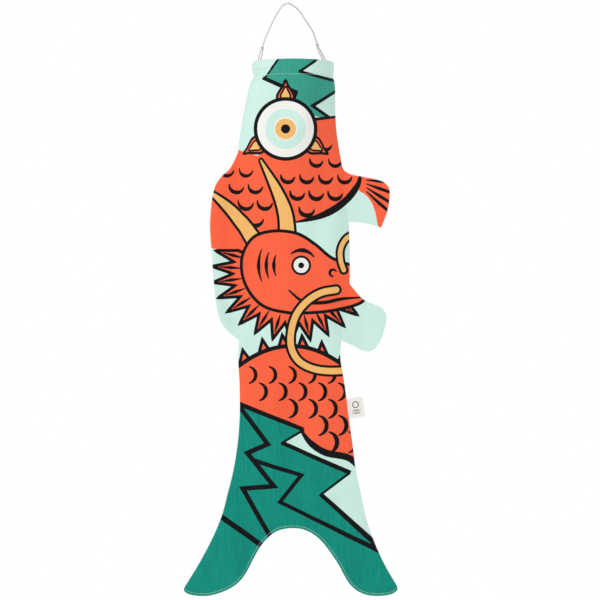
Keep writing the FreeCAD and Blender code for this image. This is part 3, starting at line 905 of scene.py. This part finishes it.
def hanging(flat, side, draped=None, inset=0.0):
    """Where each (u, v) point of a panel hangs, in millimetres. inset moves a second ply
    into the tube."""
    rest = on_tube(flat)
    v, level = flat[:, 1], rest[:, 2]
    from_seam = distance_to(flat, seam_points)
    closing = step_up(from_seam, 0, SEAM_ROUND)
    fold = step_up(v, FOLD_START - 6, FOLD_START)
    below = step_up(-v, -CASING_STITCH, -CASING_STITCH + FOLDS_FULL)
    free = np.minimum(1, from_seam / FREE_FROM_SEAM)
    shared = below * waves(flat, SHARED_FOLDS)
    apart = below * free * waves(flat + np.array([side * OWN_SHIFT, 0]), OWN_FOLDS)
    if draped is not None:
        common, own = draped(flat).T
        shared = shared + below * common
        apart = apart + below * free * own
    pucker = np.exp(-from_seam / PUCKER_REACH) * (1 - fold) * waves(flat[:, ::-1], PUCKERS)
    gap = closing * SEAM_GAP * (1 - fold)
    depth = np.maximum(rest[:, 1] + gap + pucker * closing + apart, gap) - inset * closing
    radial = casing_moves(flat, level, fold) * step_up(v, CASING_STITCH - 8, CASING_STITCH - 2)
    x = rest[:, 0] + (rest[:, 0] - HOOP_X) / RIM_RADIUS * radial
    y = side * depth + shared + side * rest[:, 1] / RIM_RADIUS * radial
    return columns(x, y, level)


def casing_moves(flat, level, fold):
    """How far the casing's cloth moves out from the hoop: drawn in at its stitching, slack
    below the strip and creased, most of all at the left."""
    leftward = 1 - step_up(flat[:, 0], -75, 20)
    nip = -NIP * np.exp(-((level - CASING_STITCH) / NIP_REACH) ** 2)
    slack = -(SLACK + LEFT_SLACK * leftward)
    slack = slack * (1 - step_up(level, STRIP_FOOT - 4, STRIP_FOOT + 1))
    slack = slack * step_up(level, CASING_STITCH - 8, CASING_STITCH - 1)
    leg = flat[:, 1] - FOLD_START - math.pi * FOLD
    held = np.where(leg > -1, step_up(leg, INNER_LEG * 0.55, INNER_LEG * 0.95), 1)
    creases = leftward * step_up(flat[:, 1], CASING_STITCH - 6, CASING_STITCH - 1) * (1 - fold)
    return (nip + slack) * held + creases * waves(flat, CASING_CREASES)


# -------- the cloth simulation
SIM_STEP, SIM_FRAMES = 9.0, 26
SIM_GRAVITY, SIM_PRESSURE = 0.35, 0.4
SIM_LIMIT = 6.0                           # the most the simulation may move the cloth
SIM_SPREAD = 8.0                          # how far its moves are smoothed
POINTS_AT_ONCE = 1500
SEAM_SHRINK = 0.035                       # how much the seam's thread draws the cloth up


def coarse_tube():
    """Both panels below the rim as one open tube, joined at the seams: the flat points of a
    panel, each one's number in the tube on the front and on the back, and the tube's faces."""
    side = OUTLINE[OUTLINE[:, 1] < FOLD_START + 0.1][::3]
    top = divided([side[-1], side[0]], SIM_STEP)[1:-1]
    flat, faces = triangulated(np.vstack([side, top]), [], SIM_STEP, SIM_STEP * 0.5)
    seam = distance_to(flat, seam_points) < 0.05
    front = np.arange(len(flat))
    back = np.where(seam, front, len(flat) + np.cumsum(~seam) - 1)
    return flat, seam, front, back, np.vstack([faces, back[faces][:, ::-1]])


def simulated():
    """Hang the coarse tube from its casing, slightly filled with air and drawn up along its
    seams, and give how far each flat point moves: both plies together, and the plies apart."""
    flat, seam, front, back, faces = coarse_tube()
    start = np.zeros((back.max() + 1, 3))
    start[back] = hanging(flat, BACK)
    start[front] = hanging(flat, FRONT)
    hung = new_object("hanging_test", start, faces, [])
    held = hung.vertex_groups.new(name="held")
    high = np.where(flat[:, 1] > CASING_STITCH - 4)[0]
    held.add(sorted({int(n) for n in np.concatenate([front[high], back[high]])}), 1, "REPLACE")
    sewn = hung.vertex_groups.new(name="sewn")
    sewn.add([int(n) for n in front[seam]], 1, "REPLACE")
    cloth = hung.modifiers.new("cloth", "CLOTH")
    rules = cloth.settings
    rules.quality, rules.mass, rules.air_damping = 9, 0.15, 3.0
    rules.tension_stiffness = rules.compression_stiffness = 30
    rules.shear_stiffness, rules.bending_stiffness = 6, 0.4
    rules.vertex_group_mass = "held"
    rules.vertex_group_shrink = "sewn"
    rules.shrink_min, rules.shrink_max = 0.0, SEAM_SHRINK
    rules.use_pressure, rules.uniform_pressure_force = True, SIM_PRESSURE
    rules.effector_weights.gravity = SIM_GRAVITY
    cloth.collision_settings.use_collision = False
    cloth.point_cache.frame_start, cloth.point_cache.frame_end = 1, SIM_FRAMES
    scene = bpy.context.scene
    for frame_number in range(1, SIM_FRAMES + 1):
        scene.frame_set(frame_number)
    settled = hung.evaluated_get(bpy.context.evaluated_depsgraph_get()).to_mesh()
    end = np.array([v.co for v in settled.vertices], float) / MM
    mesh = hung.data
    bpy.data.objects.remove(hung)
    bpy.data.meshes.remove(mesh)
    scene.frame_set(1)
    move = SIM_LIMIT * np.tanh((end - start)[:, 1] / SIM_LIMIT)
    moves = columns(move[front] + move[back], move[back] - move[front]) / 2
    return spread(flat, moves, SIM_SPREAD)


def spread(places, values, reach):
    """A smooth field through values at scattered places."""
    def at(points):
        made = []
        for part in np.array_split(points, len(points) // POINTS_AT_ONCE + 1):
            gap = ((part[:, None] - places) ** 2).sum(axis=2)
            weight = np.exp(-gap / reach ** 2) + 1e-12
            made.append(weight @ values / weight.sum(axis=1)[:, None])
        return np.vstack(made)
    return at


# -------- meshes
SHARP_EDGE = math.radians(50)


def new_object(name, points, faces, materials, ink=None, flat=None):
    """A mesh piece from points in millimetres."""
    mesh = bpy.data.meshes.new(name)
    faces = faces.tolist() if isinstance(faces, np.ndarray) else faces
    mesh.from_pydata((np.array(points) * MM).tolist(), [], faces)
    for material in materials:
        mesh.materials.append(material)
    if ink is not None:
        mesh.polygons.foreach_set("material_index", np.array(ink, np.int32))
    if flat is not None:
        layer = mesh.attributes.new("flat", "FLOAT_VECTOR", "POINT")
        layer.data.foreach_set("vector", np.hstack([flat, np.zeros((len(flat), 1))]).ravel())
    mesh.polygons.foreach_set("use_smooth", np.ones(len(mesh.polygons), bool))
    mesh.update()
    piece = bpy.data.objects.new(name, mesh)
    bpy.context.collection.objects.link(piece)
    return piece


def apply_modifiers(piece):
    bpy.context.view_layer.objects.active = piece
    for modifier in list(piece.modifiers):
        with bpy.context.temp_override(object=piece, active_object=piece):
            bpy.ops.object.modifier_apply(modifier=modifier.name)


def thicken(piece, thickness, back_materials=0):
    """Give a sheet its thickness on its inner side."""
    solid = piece.modifiers.new("ply", "SOLIDIFY")
    solid.thickness = thickness * MM
    solid.offset = -1.0
    solid.use_even_offset = False
    solid.material_offset = back_materials
    apply_modifiers(piece)
    piece.data.set_sharp_from_angle(angle=SHARP_EDGE)


SLIT_RADIUS = 1.1
STRAND_RADII = STRIP_RADIUS + 1.7, STRIP_RADIUS - 1.7     # a loop's strands, round the strip


def slit_places(end):
    """The (u, v) places where one tie's two strands pass through the fold. end is -1 at the
    left tie, which is in the front panel, and 1 at the right one, in the back panel."""
    u = HOOP_X + RIM_RADIUS * end * (math.pi / 2 - TIE_TURN)
    places = []
    for radius in STRAND_RADII:
        share = (radius - STRIP_RADIUS) / FOLD
        level = math.copysign(abs(share) ** (1 / FOLD_SQUARE), share)
        places.append((u, FOLD_START + FOLD * math.acos(level)))
    return places


SLITS = {FRONT: slit_places(-1), BACK: slit_places(1)}


def panel_pieces(name, side, materials, draped):
    """One panel as two pieces, above and below the split."""
    place = hanging(FLAT, side, draped)
    middles = FLAT[FACES].mean(axis=1)
    hole = np.zeros(len(FACES), bool)
    for slit in SLITS[side]:
        hole |= np.linalg.norm(middles - np.array(slit), axis=1) < SLIT_RADIUS
    made = []
    for part, mask in (("upper", middles[:, 1] > SPLIT), ("lower", middles[:, 1] <= SPLIT)):
        faces = FACES[mask & ~hole]
        ink = FACE_INK[mask & ~hole]
        used, faces = compact(faces)
        if side == BACK:
            faces = faces[:, ::-1]
        piece = new_object(f"{name}_cloth_{part}", place[used], faces, materials, ink, FLAT[used])
        thicken(piece, CLOTH, len(INK_NAMES))
        made.append(piece)
    upper, lower = made
    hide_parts(f"{name}_panel_upper", f"{name}_panel_middle", f"{name}_casing")
    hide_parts(f"{name}_panel_lower")
    bend(upper, "torso", "loin", WAIST)
    bend(lower, "loin", "tail", TAIL_FOLD)


def bend(piece, above, below, line):
    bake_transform(piece)


# -------- hem and stitching
def line_inside(line, distance):
    """A line moved square to itself, to the left of its run."""
    return line + unit(np.gradient(line, axis=0))[:, ::-1] * np.array([-1, 1]) * distance


def hem_ply(name, side, materials, draped):
    """The tail's hem allowance, turned in behind its panel."""
    inner = line_inside(HEM, HEM_WIDTH)
    outline = np.vstack([HEM, inner[::-1]])
    flat, faces, ink = printed(outline, art, INK_NAMES, 3.0)
    place = hanging(flat, side, draped, inset=CLOTH + HEM_GAP)
    if side == BACK:
        faces = faces[:, ::-1]
    ply = new_object(f"{name}_hem_ply", place, faces, materials, ink, flat)
    thicken(ply, CLOTH * HEM_THINNER, len(INK_NAMES))
    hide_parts(f"{name}_tail_hem")
    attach(ply, "tail")


def tube(line, radii, sides=8):
    """Points and faces of a closed tube round a line of points."""
    across, up = frames(line)
    turn = np.linspace(0, 2 * math.pi, sides, endpoint=False)
    radii = np.broadcast_to(radii, len(line))
    ring = across[:, None] * np.cos(turn)[:, None] + up[:, None] * np.sin(turn)[:, None]
    points = (line[:, None] + ring * radii[:, None, None]).reshape(-1, 3)
    faces = []
    for k in range(len(line) - 1):
        for n in range(sides):
            m = (n + 1) % sides
            faces.append((k * sides + n, k * sides + m, (k + 1) * sides + m, (k + 1) * sides + n))
    faces.append(tuple(range(sides))[::-1])
    faces.append(tuple(range((len(line) - 1) * sides, len(line) * sides)))
    return points, faces


def frames(line):
    """Two directions across a line at each point, turning no more than it does."""
    ahead = unit(np.gradient(line, axis=0))
    start = np.array([0.0, 1.0, 0.0]) if abs(ahead[0][1]) < 0.9 else np.array([1.0, 0, 0])
    across = [start - ahead[0] * (start @ ahead[0])]
    for direction in ahead[1:]:
        across.append(across[-1] - direction * (across[-1] @ direction))
        across[-1] /= np.linalg.norm(across[-1])
    across[0] /= np.linalg.norm(across[0])
    across = np.array(across)
    return across, np.cross(ahead, across)


def joined(parts):
    """Several point and face lists as one."""
    points, faces, first = [], [], 0
    for part, part_faces in parts:
        points.append(part)
        faces += [tuple(n + first for n in face) for face in part_faces]
        first += len(part)
    return np.vstack(points), faces


STITCH_START, STITCH_PITCH, STITCH_LENGTH, THREAD = 0.4, 3.0, 2.35, 0.21
STITCH_SHARES = np.array([0, 0.12, 0.5, 0.88, 1])         # along a stitch, its places,
STITCH_LIFT = np.array([-0.22, 0.05, 0.16, 0.05, -0.22])  # their rise from the cloth,
STITCH_TAPER = np.array([0.5, 0.9, 1.0, 0.9, 0.5])        # and their share of its radius


def tube_piece(name, parts, material, body, node):
    """One piece made of tubes, which stands for a CAD node."""
    points, faces = joined(parts)
    piece = new_object(name, points, faces, [material])
    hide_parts(node)
    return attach(piece, body)


def stitches(line, outward):
    """A row of lockstitches along a line of points, each end drawn into the cloth."""
    reach = run_along(line)
    parts = []
    for start in np.arange(STITCH_START, reach[-1] - STITCH_LENGTH, STITCH_PITCH):
        at = start + STITCH_SHARES * STITCH_LENGTH
        run = sampled(at, reach, line) + sampled(at, reach, outward) * STITCH_LIFT[:, None]
        parts.append(tube(run, STITCH_TAPER * THREAD, 6))
    return parts


def sew_casing(material, draped):
    """The stitching that holds the casing down, right round the tube."""
    parts = []
    for side in (FRONT, BACK):
        ends = to_flat([(left_edge(CASING_STITCH), CASING_STITCH),
                        (right_edge(CASING_STITCH), CASING_STITCH)])
        row = hanging(divided(ends, 1.5), side, draped)
        parts += stitches(row, unit(row - np.array([HOOP_X, 0, CASING_STITCH])))
    tube_piece("casing_stitching", parts, material, "torso", "casing_thread")


def sew_hem(name, side, material, draped):
    row = hanging(line_inside(HEM, HEM_STITCH), side, draped)
    outward = np.zeros_like(row)
    outward[:, 1] = side
    tube_piece(f"{name}_hem_stitching", stitches(row, outward), material, "tail",
               f"{name}_hem_thread")


# -------- the bridle
def nurbs_line(points, detail=14):
    """Points along the smooth line whose control points these are, in millimetres."""
    curve = bpy.data.curves.new("route", "CURVE")
    curve.dimensions = "3D"
    spline = curve.splines.new("NURBS")
    spline.points.add(len(points) - 1)
    for control, place in zip(spline.points, points):
        control.co = (*place, 1)
    spline.order_u = 3
    spline.use_endpoint_u = True
    spline.resolution_u = detail
    route = bpy.data.objects.new("route", curve)
    bpy.context.collection.objects.link(route)
    mesh = bpy.data.meshes.new_from_object(route)
    line = np.array([v.co for v in mesh.vertices], float)
    bpy.data.objects.remove(route)
    bpy.data.meshes.remove(mesh)
    return line


STRANDS, STRAND_OFFSET, STRAND_RADIUS, LAY_LENGTH = 3, 0.56, 0.50, 6.5
LOOP_SCALE = 0.86                         # the loops are pulled thin through their slits
LOOP_BOWS = (0.8, -0.4)                   # how far each strand of a loop bows out
LOOP_FOOT, LOOP_LOW = -0.9, 1.6           # a strand's lowest points, from the rim up
LOOP_AT_KNOT = np.array([0.9, 0.45, -1.6])
KNOT_SIZE, KNOT_SCALE, KNOT_TILT = 1.75, 0.72, 0.5


def twisted(line, scale=1.0):
    """A laid string: strands wound round the line."""
    across, up = frames(line)
    reach = run_along(line)
    parts = []
    for k in range(STRANDS):
        turn = 2 * math.pi * (k / STRANDS + reach / (LAY_LENGTH * scale))
        swing = across * np.cos(turn)[:, None] + up * np.sin(turn)[:, None]
        parts.append(tube(line + swing * STRAND_OFFSET * scale, STRAND_RADIUS * scale, 8))
    return parts


def knot(centre, tilt):
    """An overhand knot pulled into a small ball."""
    t = np.linspace(0, 2 * math.pi, 121)
    ball = columns((2 + np.cos(3 * t)) * np.cos(2 * t), (2 + np.cos(3 * t)) * np.sin(2 * t),
                   1.5 * np.sin(3 * t)) * KNOT_SIZE / 3
    c, s = math.cos(tilt), math.sin(tilt)
    turned = columns(ball[:, 0] * c - ball[:, 2] * s, ball[:, 1], ball[:, 0] * s + ball[:, 2] * c)
    return twisted(turned + np.array(centre), KNOT_SCALE)


def tie_point(radius, end, height):
    """A point on the tied diameter: end is -1 at the left tie and 1 at the right one."""
    return np.array([HOOP_X + end * radius * math.cos(TIE_TURN),
                     end * radius * math.sin(TIE_TURN), RIM + height])


def make_bridle(material):
    """The string over the hanging point, and at each end its knot and its loop."""
    line = nurbs_line(BRIDLE_ROUTE)
    bridle = tube_piece("bridle_string", twisted(line), material, "bridle",
                        "bridle_cord")
    for name, end, centre in (("left", -1, BRIDLE_ROUTE[0]), ("right", 1, BRIDLE_ROUTE[-1])):
        tube_piece(f"{name}_overhand_knot", knot(centre, KNOT_TILT * end),
                                 material, "bridle", f"{name}_knot")
        strands = []
        for sign, radius, bow in zip((1, -1), STRAND_RADII, LOOP_BOWS):
            foot = tie_point(radius, end, LOOP_FOOT)
            near = np.array(centre) + LOOP_AT_KNOT * (end * sign, end * sign, 1)
            middle = (foot + near) / 2 + (end * bow, 0, 0)
            low = tie_point(radius, end, LOOP_LOW)
            strands += twisted(nurbs_line([foot, low, middle, near], 18), LOOP_SCALE)
        tube_piece(f"{name}_string_loop", strands, material,
                                 "bridle", f"{name}_loop")


# -------- the label
LABEL_INKS = ["tape", "mark"]
LABEL_WIDTH, LABEL_HEIGHT = 21.0, 26.0
LABEL_FOOT = (81.7, 0.0, -545.6)
LABEL_LEAN = math.radians(9)
LABEL_FOLD, LABEL_BULGE, LEAF_GAP = 1.0, 0.6, 0.42
LABEL_CURL, LABEL_THICKNESS = 0.9, 0.16
RING_HEIGHT, RING_RADIUS = 17.0, 3.9
WAVE_HEIGHTS, WAVE_START, WAVE_STEP, WAVE_SWING = (9.4, 6.0), 5.5, 2.2, 0.9


def label_picture():
    """A plain mark on both faces: a ring over two waves."""
    picture = Print(np.array)
    for middle in (LABEL_WIDTH * 0.5, LABEL_WIDTH * 1.5):
        ring = arc((middle, RING_HEIGHT), RING_RADIUS, 0, 360, 25)[:-1]
        picture.brush(ring, [1.25], ink="mark", closed=True)
        for height in WAVE_HEIGHTS:
            wave = [(middle - WAVE_START + WAVE_STEP * k,
                     height + (WAVE_SWING if k % 2 else -WAVE_SWING)) for k in range(6)]
            picture.brush(wave, [0.5, 1.2, 1.2, 0.5], ink="mark")
    return picture


def make_label(materials):
    """A woven tape folded back on itself, its two ends sewn into the side seam."""
    outline = divided([(0, 0), (2 * LABEL_WIDTH, 0), (2 * LABEL_WIDTH, LABEL_HEIGHT),
                       (0, LABEL_HEIGHT)], 0.8, True)
    flat, faces, ink = printed(outline, label_picture(), LABEL_INKS, 1.0)
    along, height = flat[:, 0], flat[:, 1]
    crease = LABEL_WIDTH - LABEL_FOLD
    bend = np.clip((along - crease) / (2 * LABEL_FOLD), 0, 1) * math.pi
    x = np.minimum(along, 2 * LABEL_WIDTH - along)
    x = np.where((bend > 0) & (bend < math.pi), crease + np.sin(bend) * LABEL_BULGE, x)
    x = np.minimum(x, crease + LABEL_BULGE)
    curl = LABEL_CURL * (x / LABEL_WIDTH) ** 2 * np.cos(height / LABEL_HEIGHT * 2.4 + 0.4)
    y = -LEAF_GAP * np.cos(bend) * step_up(x, -0.5, 4) + curl
    c, s = math.cos(LABEL_LEAN), math.sin(LABEL_LEAN)
    place = columns(x * c - height * s, y, x * s + height * c)
    label = new_object("woven_label", place + np.array(LABEL_FOOT), faces, materials, ink, flat)
    thicken(label, LABEL_THICKNESS)
    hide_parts("seam_label")
    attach(label, "label")


# -------- the streamer
make_camera()
make_studio()
string = yarn_material("cotton_string", (0.54, 0.52, 0.50), 0.0007, 0.85)
thread = yarn_material("sewing_thread", (0.60, 0.78, 0.72), 0.0004, 0.7)
plastic = plastic_material("hoop_plastic_strip", (0.78, 0.79, 0.78))
tape = [tape_material("label_satin", (0.69, 0.67, 0.63)),
        tape_material("label_mark", (0.10, 0.10, 0.11))]
inks = cloth_materials()
make_bridle(string)
for node, material in (("hoop_strip", plastic), ("hoop_joiner", plastic),
                       ("left_hitch", string), ("right_hitch", string)):
    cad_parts[node].data.materials.clear()
    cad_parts[node].data.materials.append(material)
draped = simulated()
for name, side in (("front", FRONT), ("back", BACK)):
    panel_pieces(name, side, inks, draped)
    hem_ply(name, side, inks, draped)
    sew_hem(name, side, thread, draped)
sew_casing(thread, draped)
make_label(tape)
